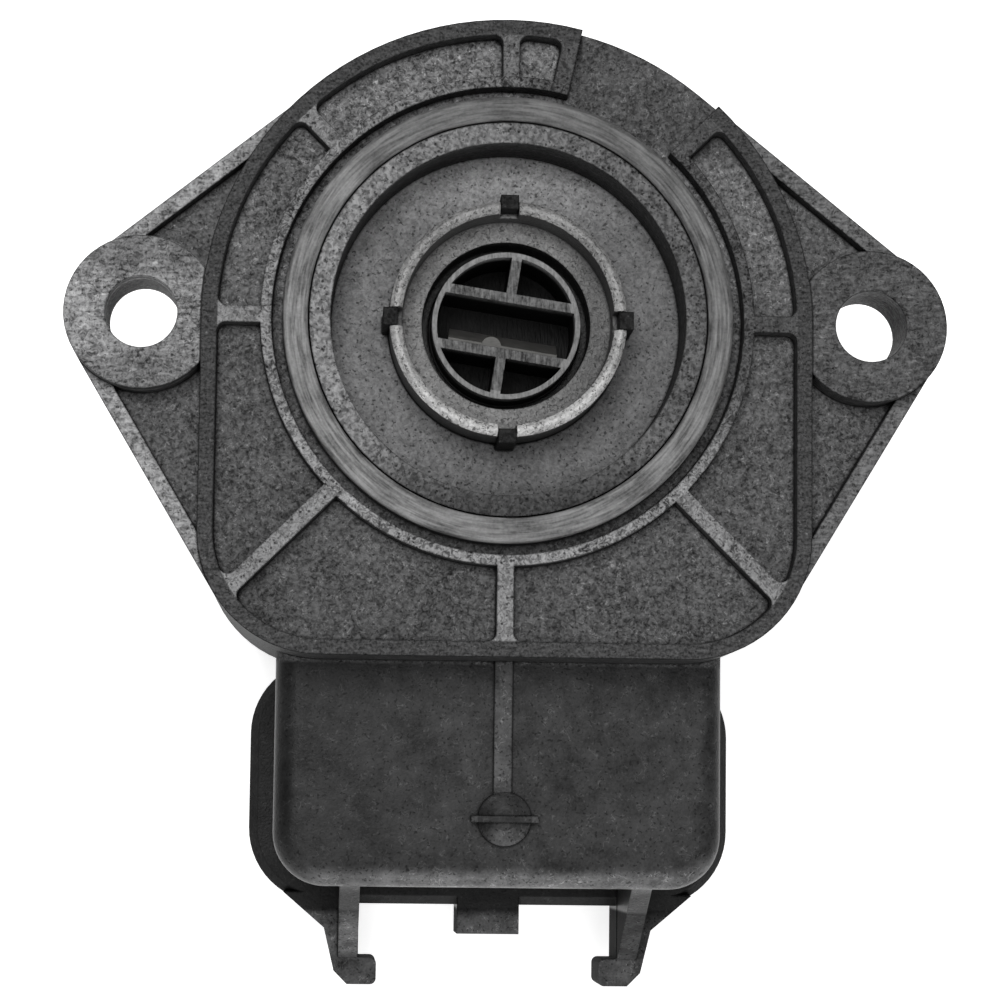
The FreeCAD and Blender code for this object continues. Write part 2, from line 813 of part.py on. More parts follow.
def rear_cover():
    """The flat rear cover, with a blind bearing for the rotor's spigot."""
    plate = prism(housing_outline(skirt_wall - cover_ledge + cover_play, cover_rear), cover_thickness)
    return plate.cut(cylinder(spigot_radius + spigot_clearance, spigot_rear - spigot_end_gap,
                              cover_front))


nodes = {
    "housing": housing,
    "mounting_seal": mounting_seal,
    "bearing_insert": bearing_insert,
    "rotor": rotor,
    "drive_leaf_spring": drive_leaf_spring,
    "return_spring": return_spring,
    "wiper_inner": lambda: wiper(0, 0.0),
    "wiper_outer": lambda: wiper(wiper_arms, 90.0),
    "track_board": track_board,
    "rear_cover": rear_cover,
}
for number in range(terminal_count):
    nodes[f"terminal_{number + 1}"] = lambda number=number: terminal_bar(number)

os.makedirs("parts", exist_ok=True)
for name, make in nodes.items():
    make().exportStep(f"parts/{name}.step")
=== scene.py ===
"""Looks for the throttle position sensor: moulded plastic, rubber, metal and studio light.

Metres, in the frame of the CAD: +Z points out of the mounting face, and the connector
lies towards -Y. Finishes are written in millimetres, because their grain is that small.
"""
import math

import bmesh
import bpy
from mathutils import Euler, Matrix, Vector


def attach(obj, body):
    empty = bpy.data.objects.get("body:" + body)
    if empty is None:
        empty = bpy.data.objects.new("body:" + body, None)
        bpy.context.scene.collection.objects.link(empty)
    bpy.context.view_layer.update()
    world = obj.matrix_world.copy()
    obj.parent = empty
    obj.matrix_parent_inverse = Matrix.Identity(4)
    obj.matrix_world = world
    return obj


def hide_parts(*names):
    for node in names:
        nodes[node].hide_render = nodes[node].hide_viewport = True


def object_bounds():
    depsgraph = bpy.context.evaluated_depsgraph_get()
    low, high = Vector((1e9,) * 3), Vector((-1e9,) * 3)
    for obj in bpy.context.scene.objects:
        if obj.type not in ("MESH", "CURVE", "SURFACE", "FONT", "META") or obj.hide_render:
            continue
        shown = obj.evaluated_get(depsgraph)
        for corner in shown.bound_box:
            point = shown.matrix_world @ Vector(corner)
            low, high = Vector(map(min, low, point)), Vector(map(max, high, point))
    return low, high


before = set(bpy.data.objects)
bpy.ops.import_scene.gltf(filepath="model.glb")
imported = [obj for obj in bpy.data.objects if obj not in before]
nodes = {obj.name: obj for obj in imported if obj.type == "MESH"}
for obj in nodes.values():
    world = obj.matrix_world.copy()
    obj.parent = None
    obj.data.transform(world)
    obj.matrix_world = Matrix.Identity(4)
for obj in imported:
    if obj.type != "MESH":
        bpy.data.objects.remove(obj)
cad_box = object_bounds()

MM = 0.001

# Camera, fitted to the circles of the mounting face
camera_turn = (-0.1073, 0.0555, -0.0177)
camera_shift = (0.0006735, 0.0141087)
camera_distance = 0.2338838
camera_focal_px = 3002.3
picture_px = 1000

# Places on the housing, in millimetres
rim_radius = 23.85
rim_width = 1.2
lower_edge = 26.35
corner_radius = 9.6
ring_rib_inner = 18.45
ring_rib_outer = 19.3
pilot_inner = 13.87
pilot_outer = 15.5
web_border_level = -1.2
pocket_level = -1.6
recess_level = -4.4
shroud_level = -18.0
box_level = -6.0
rail_reach = -46.0
key_reach = 10.3
boss_place = (0.45, -38.75)
boss_radius = 2.1
foot_reach = -50.5
latch_reach = 3.3
arm_inside = 8.0
ear_place = 28.5
ear_hole_radius = 2.8

# Seal, in millimetres
seal_inner = 15.6
seal_outer = 17.55
seal_top = 0.7
seal_bottom = -1.6
seal_edge = 0.4
seal_groove_pitch = 0.28
seal_groove_depth = 0.03
seal_segments = 240

# Levels of light: white as seen by the camera, and what falls on the part
world_level = 0.15
floor_size = 4.0
floor_drop = 0.0002
floor_tone = 0.85
floor_glow = 0.75
lamps = (
    ("key", (-0.08, 0.14, 0.46), 0.22, 1.42),
    ("front", (0.05, -0.12, 0.7), 0.5, 1.2),
    ("low", (0.02, -0.45, 0.12), 0.2, 0.8),
)

# Finishes
darkest_share = 0.12
weave_pitch_mm = 0.45
bevel_samples = 6
crease_samples = 8


class Finish:
    """A material's node tree. Positions reach it in millimetres, in the frame of the CAD."""

    def __init__(self, name):
        self.material = bpy.data.materials.new(name)
        self.material.use_nodes = True
        self.tree = self.material.node_tree
        self.shader = self.tree.nodes["Principled BSDF"]
        self.place = self.vector("SCALE", self.add("ShaderNodeTexCoord").outputs["Object"], scale=1 / MM)
        parts = self.add("ShaderNodeSeparateXYZ")
        self.feed(parts.inputs[0], self.place)
        self.x = parts.outputs[0]
        self.y = parts.outputs[1]
        self.z = parts.outputs[2]
        self.radius = self.hypot(self.x, self.y)

    def add(self, kind, **settings):
        node = self.tree.nodes.new(kind)
        for name, value in settings.items():
            setattr(node, name, value)
        return node

    def feed(self, socket, value):
        if isinstance(value, bpy.types.NodeSocket):
            self.tree.links.new(value, socket)
        else:
            socket.default_value = value

    def math(self, operation, *values):
        node = self.add("ShaderNodeMath", operation=operation)
        for socket, value in zip(node.inputs, values):
            self.feed(socket, value)
        return node.outputs[0]

    def hypot(self, a, b):
        return self.math("SQRT", self.math("ADD", self.math("MULTIPLY", a, a), self.math("MULTIPLY", b, b)))

    def product(self, first, *others):
        for value in others:
            first = self.math("MULTIPLY", first, value)
        return first

    def vector(self, operation, a, b=None, scale=None):
        node = self.add("ShaderNodeVectorMath", operation=operation)
        self.feed(node.inputs[0], a)
        if b is not None:
            self.feed(node.inputs[1], b)
        if scale is not None:
            self.feed(node.inputs["Scale"], scale)
        return node.outputs["Value" if operation == "DOT_PRODUCT" else "Vector"]

    def rise(self, value, low, high, start=0.0, end=1.0):
        """Goes smoothly from one value to another between two limits."""
        node = self.add("ShaderNodeMapRange", interpolation_type="SMOOTHSTEP")
        for socket, given in zip(node.inputs, (value, low, high, start, end)):
            self.feed(socket, given)
        return node.outputs[0]

    def band(self, value, low, high, soft):
        """1 between two limits and 0 outside them."""
        return self.math("MULTIPLY", self.rise(value, low - soft, low + soft),
                         self.rise(value, high - soft, high + soft, 1.0, 0.0))

    def blend(self, share, a, b):
        node = self.add("ShaderNodeMix", data_type="FLOAT")
        self.feed(node.inputs[0], share)
        self.feed(node.inputs[2], a)
        self.feed(node.inputs[3], b)
        return node.outputs[0]

    def noise(self, size, detail=3.0, roughness=0.55, stretch=(1.0, 1.0, 1.0), curl=0.0):
        """Noise from 0 to 1 with features of about one size, longer where stretch is above 1."""
        node = self.add("ShaderNodeTexNoise")
        self.feed(node.inputs["Vector"], self.vector("DIVIDE", self.place, stretch))
        node.inputs["Scale"].default_value = 1 / size
        node.inputs["Detail"].default_value = detail
        node.inputs["Roughness"].default_value = roughness
        node.inputs["Distortion"].default_value = curl
        return node.outputs[0]

    def grained(self, size, stretch=(1.0, 1.0, 1.0), curl=0.0):
        """Close grain of light and dark spots from 0 to 1, with little between them."""
        return self.rise(self.noise(size, detail=1.0, stretch=stretch, curl=curl), 0.3, 0.7)

    def flat_distance(self, x, y, mirrored=False):
        """Distance across the mounting face from a place, or from it and its mirror image in x."""
        side = self.math("ABSOLUTE", self.x) if mirrored else self.x
        return self.hypot(self.math("SUBTRACT", side, x), self.math("SUBTRACT", self.y, y))

    def varied(self, mean, *textures):
        """A tone that each pair of a texture and an amount makes lighter and darker."""
        share = 1.0
        for texture, amount in textures:
            share = self.math("MULTIPLY_ADD", self.math("SUBTRACT", texture, 0.5), amount, share)
        return self.math("MULTIPLY", mean, self.math("MAXIMUM", share, darkest_share))

    def flecked(self, tone, *flecks):
        """A tone with sparse flecks: each texture with how much lighter or darker it makes the tone."""
        for texture, amount in flecks:
            tone = self.math("MULTIPLY", tone, self.math("MULTIPLY_ADD", texture, amount, 1.0))
        return tone

    def strokes(self, size, thickness, share):
        """Short curled scratches: 1 on a stroke and 0 between them."""
        field = self.noise(size, detail=1.5, roughness=0.6, curl=0.8)
        stroke = self.rise(self.math("ABSOLUTE", self.math("SUBTRACT", field, 0.5)), 0.0, thickness,
                           1.0, 0.0)
        crowd = self.noise(size * 1.37, detail=1.0)
        return self.math("MULTIPLY", stroke, self.rise(crowd, 0.56 - share, 0.62 - share))

    def crease_shade(self, reach, darkest):
        """Painted shade at the feet of raised features: 1 on open faces, less in corners and gaps."""
        near = self.add("ShaderNodeAmbientOcclusion", samples=crease_samples)
        near.inputs["Distance"].default_value = reach * MM
        return self.rise(near.outputs["AO"], 0.5, 0.84, darkest, 1.0)

    def lean(self, direction):
        """How much the face looks along a direction, from -1 to 1."""
        face = self.add("ShaderNodeNewGeometry").outputs["Normal"]
        return self.vector("DOT_PRODUCT", face, direction)

    def sides(self, darkest):
        """1 on faces square to the shaft and less on the walls beside them: painted shade on the walls."""
        return self.rise(self.math("ABSOLUTE", self.lean((0.0, 0.0, 1.0))), 0.2, 0.8, darkest, 1.0)

    def pits(self, size, share):
        """Small round pits: 1 in a pit and 0 between them."""
        node = self.add("ShaderNodeTexVoronoi")
        self.feed(node.inputs["Vector"], self.place)
        node.inputs["Scale"].default_value = 1 / size
        crowd = self.noise(size * 2.3, detail=1.0)
        near = self.rise(node.outputs["Distance"], 0.16, 0.34, 1.0, 0.0)
        return self.math("MULTIPLY", near, self.rise(crowd, 0.62 - share, 0.7 - share))

    def ring_streaks(self, circle, length, pitch):
        """Broken streaks of a length round the shaft's axis, at about a circle's radius."""
        flat = self.vector("MULTIPLY", self.place, (1.0, 1.0, 0.0))
        spun = self.vector("SCALE", flat, scale=self.math("DIVIDE", circle / length, self.radius))
        lift = self.add("ShaderNodeCombineXYZ")
        self.feed(lift.inputs["Z"], self.math("DIVIDE", self.radius, pitch))
        node = self.add("ShaderNodeTexNoise")
        self.feed(node.inputs["Vector"], self.vector("ADD", spun, lift.outputs[0]))
        node.inputs["Scale"].default_value = 1.0
        node.inputs["Detail"].default_value = 1.5
        return self.rise(node.outputs[0], 0.32, 0.68)

    def shaded_edge(self, reach):
        """1 along sharp edges, where a rounded copy of the surface leans away from it; used for painted
        shade along edges.
        """
        return self.rise(self.lean(self.round_edges(reach)), 0.995, 0.86)

    def round_edges(self, reach):
        """The normal of a copy of the surface whose edges are rounded."""
        bevel = self.add("ShaderNodeBevel", samples=bevel_samples)
        bevel.inputs["Radius"].default_value = reach * MM
        return bevel.outputs[0]

    def outline_distance(self):
        """Distance in the picture plane outside the housing's outline, negative inside it."""
        flat_x = self.math("SUBTRACT", self.math("ABSOLUTE", self.x), rim_radius - corner_radius)
        flat_y = self.math("SUBTRACT", self.math("MULTIPLY", self.y, -1.0), lower_edge - corner_radius)
        out_x = self.math("MAXIMUM", flat_x, 0.0)
        out_y = self.math("MAXIMUM", flat_y, 0.0)
        corner = self.hypot(out_x, out_y)
        inside = self.math("MINIMUM", self.math("MAXIMUM", flat_x, flat_y), 0.0)
        lower = self.math("SUBTRACT", self.math("ADD", corner, inside), corner_radius)
        upper = self.math("SUBTRACT", self.radius, rim_radius)
        return self.blend(self.math("GREATER_THAN", self.y, 0.0), lower, upper)

    def at_level(self, level):
        """1 on faces at a height, and 0 above and below it."""
        soft = 0.12
        return self.band(self.z, level - 2 * soft, level + 2 * soft, soft)

    def paint(self, tone, tint=(1.0, 1.0, 1.0)):
        self.feed(self.shader.inputs["Base Color"], self.vector("SCALE", tint, scale=tone))

    def polish(self, roughness):
        self.feed(self.shader.inputs["Roughness"], roughness)

    def relief(self, height, depth, normal=None):
        """Turns a height from 0 to 1 into relief of a depth in millimetres."""
        bump = self.add("ShaderNodeBump")
        bump.inputs["Distance"].default_value = depth * MM
        self.feed(bump.inputs["Height"], height)
        if normal is not None:
            self.feed(bump.inputs["Normal"], normal)
        self.feed(self.shader.inputs["Normal"], bump.outputs[0])
        return bump.outputs[0]


def housing_finish():
    """Glass-filled black nylon: dark grained rim, pale scuffed ears, pitted ribs, cloudy connector, with
    painted light from the left and painted shade on walls, edges and creases.
    """
    f = Finish("black_moulded_nylon")
    distance = f.outline_distance()
    top = f.rise(f.z, -0.3, -0.15)
    outside = f.rise(distance, 0.0, 0.1)
    inside = f.rise(distance, -rim_width - 0.1, -rim_width, 1.0, 0.0)
    rim = f.math("MULTIPLY", top, f.band(distance, -rim_width, 0.0, 0.08))
    ears = f.math("MULTIPLY", top, outside)
    borders = f.math("MULTIPLY", f.at_level(web_border_level), outside)
    ribs = f.math("MULTIPLY", top, inside)
    ring = f.math("MULTIPLY", top, f.band(f.radius, ring_rib_inner, ring_rib_outer, 0.1))
    pilot = f.math("MULTIPLY", top, f.band(f.radius, pilot_inner, pilot_outer, 0.1))
    pockets = f.at_level(pocket_level)
    recess = f.math("MULTIPLY", f.at_level(recess_level), f.rise(f.radius, pilot_inner, pilot_inner + 0.1,
                                                               1.0, 0.0))
    connector = f.rise(f.y, -lower_edge - 0.4, -lower_edge, 1.0, 0.0)
    # Painted light from the left: 1 on the left side and 0 on the right.
    left_light = f.rise(f.x, -26.0, 26.0, 1.0, 0.0)

    cloud = f.noise(4.5, detail=4.0, roughness=0.6)
    haze = f.noise(1.6, detail=4.0, roughness=0.6)
    grain = f.grained(0.22)
    speckle = f.grained(0.36, curl=0.5)
    worms = f.grained(0.42, curl=1.6)
    brushed = f.grained(0.3, stretch=(3.0, 1.0, 1.0), curl=0.6)
    scuffs = f.noise(1.1, detail=4.0, roughness=0.8, stretch=(1.0, 2.0, 1.0), curl=0.6)
    dark_specks = f.rise(f.noise(0.27, detail=1.0), 0.28, 0.4, 1.0, 0.0)
    pale_specks = f.rise(f.noise(0.24, detail=1.0), 0.64, 0.8)
    pale_scrapes = f.rise(f.noise(0.5, detail=1.0, stretch=(2.5, 1.0, 1.0), curl=0.5), 0.62, 0.74)
    pale_strokes = f.strokes(0.62, 0.03, 0.04)
    pits = f.pits(0.42, 0.12)

    tone = f.varied(0.102, (speckle, 0.8), (worms, 0.6), (cloud, 1.2))
    pocket_mean = f.math("MULTIPLY", f.rise(f.y, -4.0, 7.0, 0.082, 0.125), f.rise(f.x, 0.0, 8.0, 1.0, 1.1))
    pocket_top = f.math("MULTIPLY", f.rise(f.y, 14.0, 17.0), f.rise(f.x, 3.0, 5.0, 1.0, 0.0))
    pocket_mean = f.math("MULTIPLY_ADD", pocket_top, 0.05, pocket_mean)
    notch = f.math("MULTIPLY", f.rise(f.y, 12.0, 14.0), f.rise(f.x, 4.5, 5.5))
    pocket_mean = f.flecked(pocket_mean, (notch, -0.42))
    pocket_tone = f.varied(pocket_mean, (speckle, 0.8), (worms, 0.7), (haze, 1.0), (cloud, 1.0))
    tone = f.blend(pockets, tone, pocket_tone)
    tone = f.flecked(tone, (pale_strokes, 1.0), (pale_specks, 0.8))
    tone = f.blend(connector, tone, connector_tone(f, cloud, haze, grain, pale_strokes))
    low = f.rise(f.y, -14.0, -4.0, 1.0, 0.0)
    rib_mean = f.blend(low, f.math("MULTIPLY_ADD", left_light, 0.14, 0.06), 0.215)
    notched = f.math("MULTIPLY", f.rise(f.x, 0.0, 3.0), f.rise(f.y, 8.0, 12.0))
    rib_mean = f.blend(notched, rib_mean, 0.07)
    tone = f.blend(ribs, tone, f.varied(rib_mean, (worms, 0.8), (scuffs, 2.4)))
    tone = f.blend(ring, tone, f.varied(rib_mean, (worms, 1.2), (scuffs, 2.4), (cloud, 1.6)))
    pilot_mean = f.math("MULTIPLY", f.math("MULTIPLY_ADD", left_light, 0.16, 0.08),
                        f.rise(f.y, -15.0, -9.0, 0.35, 1.0))
    tone = f.blend(pilot, tone, f.varied(pilot_mean, (speckle, 0.9), (scuffs, 2.2)))
    rim_mean = f.rise(f.y, -20.0, -5.0, 0.06, 0.053)
    rim_tone = f.flecked(f.varied(rim_mean, (grain, 0.8), (brushed, 0.6)), (pale_specks, 1.2))
    tone = f.blend(rim, tone, rim_tone)
    # The ears' painted light from the left, strongest near the line through the holes and strongest of all
    # on the far left.
    off_line = f.rise(f.math("ABSOLUTE", f.y), 2.0, 4.5, 0.15, 0.075)
    ear_mean = f.math("MULTIPLY_ADD", left_light, off_line, 0.078)
    ear_mean = f.math("MULTIPLY", ear_mean, f.rise(f.x, -33.0, -29.0, 1.15, 1.0))
    ear_tone = f.varied(ear_mean, (brushed, 0.65), (worms, 0.8), (cloud, 2.0), (scuffs, 2.0))
    tone = f.blend(ears, tone, f.flecked(ear_tone, (pale_scrapes, 0.7)))
    parting = f.math("MULTIPLY", top, f.band(distance, -0.04, 0.1, 0.06))
    tone = f.flecked(tone, (parting, -0.85))
    border_mean = f.math("MULTIPLY_ADD", left_light, 0.15, 0.13)
    tone = f.blend(borders, tone, f.varied(border_mean, (brushed, 0.7), (worms, 0.6), (scuffs, 2.2)))
    # Recess floor: lighter to the left and at the top with painted light that lifts the lamp's shadow, and
    # darker towards the bottom with painted shade.
    recess_mean = f.math("MULTIPLY", f.math("MULTIPLY_ADD", left_light, 0.045, 0.156),
                         f.math("MULTIPLY", f.rise(f.y, -14.0, -10.0, 0.7, 1.0),
                                f.rise(f.y, 7.0, 12.0, 1.0, 1.7)))
    tone = f.blend(recess, tone, f.varied(recess_mean, (worms, 0.4), (speckle, 0.35), (haze, 0.9)))
    keys = f.math("MULTIPLY", f.rise(f.radius, key_reach, key_reach + 0.1, 1.0, 0.0),
                  f.rise(f.z, recess_level + 0.2, recess_level + 0.4))
    tone = f.blend(keys, tone, f.flecked(f.varied(0.012, (speckle, 1.2)), (pale_specks, 4.0)))
    pitted = f.math("MULTIPLY", pits, f.math("MAXIMUM", ribs, pilot))
    # Painted shade along edges, fainter on the connector.
    edge_shade = f.math("MULTIPLY", f.shaded_edge(0.2), f.blend(connector, 1.0, 0.35))
    tone = f.flecked(tone, (pitted, -0.8), (dark_specks, -0.7), (edge_shade, -0.7))
    # Painted shade on walls everywhere but the ear holes and the connector, and painted shade in creases.
    off_hole = f.flat_distance(ear_place, 0.0, mirrored=True)
    wall_shade_reach = f.math("MULTIPLY", f.rise(off_hole, ear_hole_radius + 0.1, ear_hole_radius + 0.3),
                      f.rise(f.y, -lower_edge - 0.4, -lower_edge - 0.1))
    wall_shade = f.blend(wall_shade_reach, 1.0, f.sides(0.22))
    f.paint(f.product(tone, wall_shade, f.crease_shade(0.4, 0.06)), (1.0, 1.0, 1.01))

    rough = f.math("MULTIPLY_ADD", cloud, 0.16, 0.48)
    rough = f.blend(rim, rough, 0.65)
    rough = f.blend(connector, rough, f.rise(f.y, rail_reach - 0.3, rail_reach, 0.8, 0.36))
    f.polish(rough)
    f.shader.inputs["Specular IOR Level"].default_value = 0.08
    height = f.math("MULTIPLY_ADD", grain, 0.4, f.math("MULTIPLY", worms, 0.6))
    height = f.math("MULTIPLY_ADD", pitted, -1.0, height)
    height = f.math("MULTIPLY", height, f.blend(connector, 1.0, 0.3))
    f.relief(height, 0.05, f.round_edges(0.2))
    return f.material


def connector_tone(f, cloud, haze, grain, pale_strokes):
    """The connector's tones: sides dark with painted shade, a lower edge pale with painted light, scuffed
    rails and a boss with a painted glint.
    """
    raised = f.rise(f.z, box_level + 0.05, box_level + 0.2)
    off_boss = f.flat_distance(*boss_place)
    on_boss = f.rise(off_boss, boss_radius, boss_radius + 0.05, 1.0, 0.0)
    # A painted glint on the boss, below and right of its centre.
    glint = f.rise(f.flat_distance(boss_place[0] + 0.2, boss_place[1] - 0.75), 0.2, 0.8, 0.01, 0.0)
    shade = f.rise(f.y, boss_place[1] - 0.2, boss_place[1] + 0.9, 0.03, 0.04)
    boss_mean = f.math("ADD", shade, glint)
    face_mean = f.rise(f.x, -14.0, -4.0, 0.024, 0.034)
    mean = f.blend(raised, face_mean, f.blend(on_boss, 0.068, boss_mean))
    # Painted light on faces that look towards -Y, near the box's face and above it.
    underside_light = f.rise(f.lean((0.0, -1.0, 0.0)), 0.05, 0.6, 1.0, 3.6)
    underside_light = f.blend(f.rise(f.z, box_level - 3.2, box_level - 1.6), 1.0, underside_light)
    # Painted shade on faces that look to the right and, darker, on faces that look to the left.
    right_shade = f.rise(f.lean((1.0, 0.0, 0.0)), 0.05, 0.5, 1.0, 0.8)
    left_shade = f.rise(f.lean((-1.0, 0.0, 0.0)), 0.05, 0.5, 1.0, 0.5)
    mean = f.product(mean, underside_light, right_shade, left_shade)
    mean = f.blend(f.rise(f.z, shroud_level - 1.0, shroud_level, 1.0, 0.0), mean, 0.011)
    upright_shade = f.rise(f.math("ABSOLUTE", f.lean((0.0, 0.0, 1.0))), 0.08, 0.2, 1.0, 0.0)
    side = f.math("ABSOLUTE", f.x)
    arm_mean = f.blend(f.rise(f.y, foot_reach, foot_reach + 1.0), 0.076,
                       f.rise(f.x, -2.0, 2.0, 0.13, 0.045))
    tail_mean = f.blend(f.rise(side, latch_reach, latch_reach + 0.1), 0.11, 0.008)
    tail_mean = f.blend(f.rise(side, arm_inside, arm_inside + 0.2), tail_mean, arm_mean)
    # Painted shade: upright faces of the rails, feet and latch are near black.
    tail_mean = f.blend(upright_shade, tail_mean, 0.008)
    mean = f.blend(f.rise(f.y, rail_reach - 1.0, rail_reach, 1.0, 0.0), mean, tail_mean)
    tone = f.varied(mean, (cloud, 1.4), (haze, 2.2), (grain, 0.3))
    return f.flecked(tone, (pale_strokes, 1.2))


def insert_finish():
    """The bearing insert: pale rim, lighter towards the bottom, speckled faces lighter to the left with
    painted light, and a bore dark with painted shade.
    """
    f = Finish("bearing_nylon")
    cloud = f.noise(2.5, detail=4.0, roughness=0.6)
    speckle = f.grained(0.3, curl=0.8)
    dark_specks = f.rise(f.noise(0.27, detail=1.0, curl=1.0), 0.33, 0.45, 0.25, 1.0)
    rim = f.rise(f.z, -0.4, 0.1)
    # Painted shade: the bore grows darker with depth.
    depth = f.rise(f.z, -5.0, -3.6, 0.1, 1.0)
    mean = f.blend(rim, f.rise(f.x, 2.0, 7.0, 0.185, 0.1), f.rise(f.y, -9.0, 7.0, 0.5, 0.25))
    tone = f.varied(mean, (speckle, 0.5), (cloud, 1.6))
    # Painted shade on the walls and in creases.
    f.paint(f.product(tone, dark_specks, f.sides(0.14), depth, f.crease_shade(0.4, 0.1)), (1.0, 0.995, 0.99))
    f.polish(f.math("MULTIPLY_ADD", cloud, 0.15, 0.38))
    f.shader.inputs["Specular IOR Level"].default_value = 0.3
    f.relief(speckle, 0.03, f.round_edges(0.3))
    return f.material


def rotor_finish():
    """The rotor: dark plastic with slanting cutter marks on its front edge, black with painted shade below.
    """
    f = Finish("rotor_nylon")
    cloud = f.noise(1.5, detail=3.0, roughness=0.6)
    marks = f.noise(0.18, detail=2.0, roughness=0.6, stretch=(1.0, 6.0, 1.0))
    speckle = f.noise(0.3, detail=4.0, roughness=0.8)
    # Painted shade: black deeper down.
    depth = f.rise(f.z, -5.0, -3.5, 0.02, 1.0)
    tone = f.varied(0.11, (marks, 3.2), (cloud, 1.8), (speckle, 2.8))
    ring = f.rise(f.radius, 5.2, 5.3, 0.0, 0.12)
    # Painted shade in creases.
    f.paint(f.product(f.math("ADD", ring, tone), depth, f.crease_shade(0.4, 0.15)))
    f.polish(f.math("MULTIPLY_ADD", cloud, 0.2, 0.38))
    f.shader.inputs["Specular IOR Level"].default_value = 0.1
    f.relief(marks, 0.06, f.round_edges(0.12))
    return f.material


def rubber_finish():
    """Black rubber: satin, with a faint bloom and broken rings left by its mould."""
    f = Finish("seal_rubber")
    cloud = f.noise(3.0, detail=4.0, roughness=0.6)
    circle = (seal_inner + seal_outer) / 2
    streaks = f.ring_streaks(circle, 3.0, 0.3)
    fine_streaks = f.ring_streaks(circle, 1.5, 0.14)
    dust = f.noise(0.2, detail=1.0)
    # Lighter to the left with painted light from the left, and lighter towards the bottom.
    mean = f.math("ADD", f.rise(f.y, -16.0, 16.0, 0.158, 0.095), f.rise(f.x, -16.0, 0.0, 0.04, 0.0))
    tone = f.varied(mean, (cloud, 1.6), (dust, 0.8), (streaks, 0.75), (fine_streaks, 0.4))
    # Painted shade in creases.
    f.paint(f.math("MULTIPLY", tone, f.crease_shade(0.35, 0.25)))
    f.polish(f.math("MULTIPLY_ADD", cloud, 0.15, 0.45))
    f.shader.inputs["Specular IOR Level"].default_value = 0.3
    f.relief(f.math("MULTIPLY_ADD", streaks, 0.8, f.math("MULTIPLY", dust, 0.2)), 0.03)
    return f.material


def metal_finish(name, tint, bright, mottle, rough, grain_stretch, metallic=1.0):
    """Spring steel or contact strip, with drawn grain and a little tarnish."""
    f = Finish(name)
    cloud = f.noise(1.2, detail=4.0, roughness=0.6)
    grain = f.noise(0.12, detail=2.0, roughness=0.6, stretch=grain_stretch)
    tone = f.math("MULTIPLY_ADD", cloud, mottle, bright)
    tone = f.math("MULTIPLY_ADD", f.math("SUBTRACT", grain, 0.5), mottle / 2, tone)
    f.paint(tone, tint)
    f.shader.inputs["Metallic"].default_value = metallic
    f.polish(f.math("MULTIPLY_ADD", cloud, 0.2, rough))
    f.relief(grain, 0.006, f.round_edges(0.05))
    return f.material


def board_finish():
    """The track board: brown laminate with a woven look."""
    f = Finish("board_laminate")
    weave_x = f.math("SINE", f.math("MULTIPLY", f.x, 2 * math.pi / weave_pitch_mm))
    weave_y = f.math("SINE", f.math("MULTIPLY", f.y, 2 * math.pi / weave_pitch_mm))
    weave = f.math("MULTIPLY_ADD", f.math("MULTIPLY", weave_x, weave_y), 0.5, 0.5)
    cloud = f.noise(5.0, detail=4.0)
    tone = f.math("MULTIPLY_ADD", cloud, 0.1, 0.16)
    tone = f.math("MULTIPLY_ADD", weave, 0.04, tone)
    f.paint(tone, (1.0, 0.68, 0.36))
    f.polish(f.math("MULTIPLY_ADD", cloud, 0.1, 0.4))
    f.relief(weave, 0.01)
    return f.material


def dress(finish, *names):
    """Gives CAD nodes a finish in place of their plain colour."""
    for name in names:
        slots = nodes[name].data.materials
        slots.clear()
        slots.append(finish)


def lathe(name, profile, segments):
    """A closed ring from a closed profile of radius and height, in millimetres."""
    mesh = bmesh.new()
    loops = []
    for step in range(segments):
        angle = 2 * math.pi * step / segments
        loops.append([mesh.verts.new((r * MM * math.cos(angle), r * MM * math.sin(angle), z * MM))
                      for r, z in profile])
    for step, loop in enumerate(loops):
        after = loops[(step + 1) % segments]
        for i in range(len(profile)):
            j = (i + 1) % len(profile)
            mesh.faces.new((loop[i], after[i], after[j], loop[j]))
    bmesh.ops.recalc_face_normals(mesh, faces=mesh.faces)
    data = bpy.data.meshes.new(name)
    mesh.to_mesh(data)
    mesh.free()
    for polygon in data.polygons:
        polygon.use_smooth = True
    piece = bpy.data.objects.new(name, data)
    bpy.context.scene.collection.objects.link(piece)
    return piece


def seal_profile():
    """The seal's section: rounded edges and fine grooves along its top."""
    points = [(seal_inner, seal_bottom)]
    rounds = 5
    for step in range(rounds + 1):
        a = math.pi / 2 * step / rounds
        points.append((seal_inner + seal_edge * (1 - math.cos(a)), seal_top - seal_edge * (1 - math.sin(a))))
    flat = seal_outer - seal_inner - 2 * seal_edge
    steps = 4 * round(flat / seal_groove_pitch)
    for step in range(1, steps):
        r = seal_inner + seal_edge + flat * step / steps
        dip = seal_groove_depth * math.sin(math.pi * step / 4) ** 2
        points.append((r, seal_top - dip))
    for step in range(rounds + 1):
        a = math.pi / 2 * (1 - step / rounds)
        points.append((seal_outer - seal_edge * (1 - math.cos(a)), seal_top - seal_edge * (1 - math.sin(a))))
    points.append((seal_outer, seal_bottom))
    return points


def seal_ring(finish):
    piece = lathe("seal_ring", seal_profile(), seal_segments)
    piece.data.materials.append(finish)
    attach(piece, "housing_body")
    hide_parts("mounting_seal")


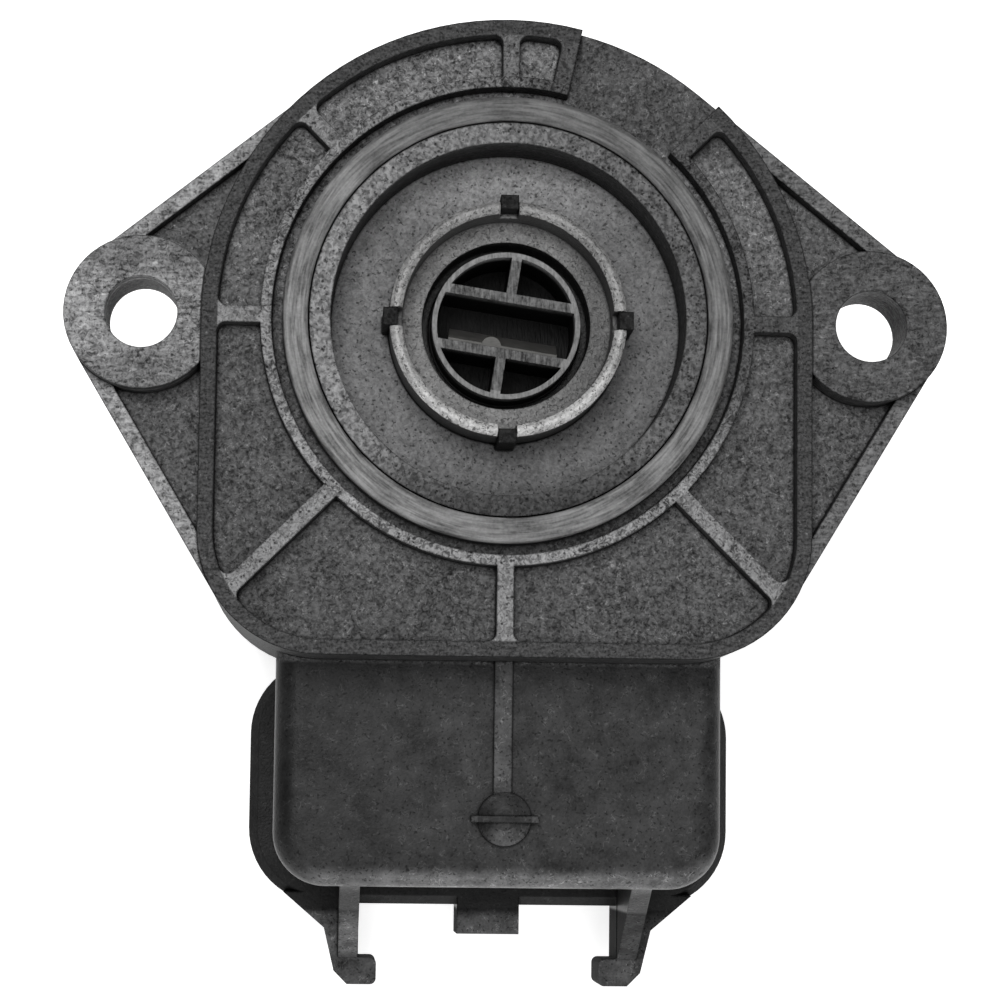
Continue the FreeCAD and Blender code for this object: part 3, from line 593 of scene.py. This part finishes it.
def camera():
    """Looks down on the mounting face from where the photograph was taken."""
    turn = Euler(camera_turn).to_matrix().transposed()
    data = bpy.data.cameras.new("camera")
    data.sensor_fit = "HORIZONTAL"
    data.angle = 2 * math.atan(picture_px / 2 / camera_focal_px)
    data.clip_start = 0.01
    data.clip_end = 20.0
    view = bpy.data.objects.new("camera", data)
    place = turn @ Vector((-camera_shift[0], -camera_shift[1], camera_distance))
    view.matrix_world = turn.to_4x4()
    view.location = place
    bpy.context.scene.collection.objects.link(view)
    bpy.context.scene.camera = view


def lamp(name, place, size, watts):
    """A square soft light that faces the part."""
    data = bpy.data.lights.new(name, "AREA")
    data.size = size
    data.energy = watts
    light = bpy.data.objects.new(name, data)
    light.location = place
    light.rotation_euler = (-Vector(place)).to_track_quat("-Z", "Y").to_euler()
    bpy.context.scene.collection.objects.link(light)


def seen_share(tree):
    """1 for rays that the camera sees directly, in a reflection or through glass."""
    rays = tree.nodes.new("ShaderNodeLightPath")
    share = rays.outputs["Is Camera Ray"]
    for name in ("Is Glossy Ray", "Is Transmission Ray"):
        either = tree.nodes.new("ShaderNodeMath")
        either.operation = "MAXIMUM"
        tree.links.new(share, either.inputs[0])
        tree.links.new(rays.outputs[name], either.inputs[1])
        share = either.outputs[0]
    return share


def studio():
    """White surroundings, a pale floor that keeps a soft shadow, and three soft lamps."""
    world = bpy.data.worlds.new("studio")
    world.use_nodes = True
    bpy.context.scene.world = world
    tree = world.node_tree
    background = tree.nodes["Background"]
    background.inputs["Color"].default_value = (1.0, 1.0, 1.0, 1.0)
    level = tree.nodes.new("ShaderNodeMapRange")
    level.inputs["To Min"].default_value = world_level
    level.inputs["To Max"].default_value = 1.0
    tree.links.new(seen_share(tree), level.inputs["Value"])
    tree.links.new(level.outputs[0], background.inputs["Strength"])

    bpy.ops.mesh.primitive_plane_add(size=floor_size, location=(0, 0, cad_box[0][2] - floor_drop))
    floor = bpy.context.object
    floor.name = "floor"
    material = bpy.data.materials.new("floor_paper")
    material.use_nodes = True
    tree = material.node_tree
    shader = tree.nodes["Principled BSDF"]
    shader.inputs["Base Color"].default_value = (floor_tone, floor_tone, floor_tone, 1.0)
    shader.inputs["Roughness"].default_value = 0.9
    glow = tree.nodes.new("ShaderNodeMath")
    glow.operation = "MULTIPLY"
    glow.inputs[1].default_value = floor_glow
    tree.links.new(seen_share(tree), glow.inputs[0])
    shader.inputs["Emission Color"].default_value = (1.0, 1.0, 1.0, 1.0)
    tree.links.new(glow.outputs[0], shader.inputs["Emission Strength"])
    floor.data.materials.append(material)

    for settings in lamps:
        lamp(*settings)


camera()
steel = metal_finish("spring_steel", (1.0, 0.98, 0.93), 0.01, 0.12, 0.5, (4.0, 1.0, 1.0), metallic=0.3)
contact = metal_finish("contact_strip", (1.0, 0.86, 0.55), 0.5, 0.25, 0.25, (1.0, 1.0, 5.0))
dress(housing_finish(), "housing", "rear_cover")
dress(insert_finish(), "bearing_insert")
dress(rotor_finish(), "rotor")
dress(steel, "drive_leaf_spring", "return_spring")
dress(contact, "wiper_inner", "wiper_outer", *[f"terminal_{i}" for i in range(1, 7)])
dress(board_finish(), "track_board")
seal_ring(rubber_finish())
studio()
bpy.context.scene.view_settings.view_transform = "Standard"
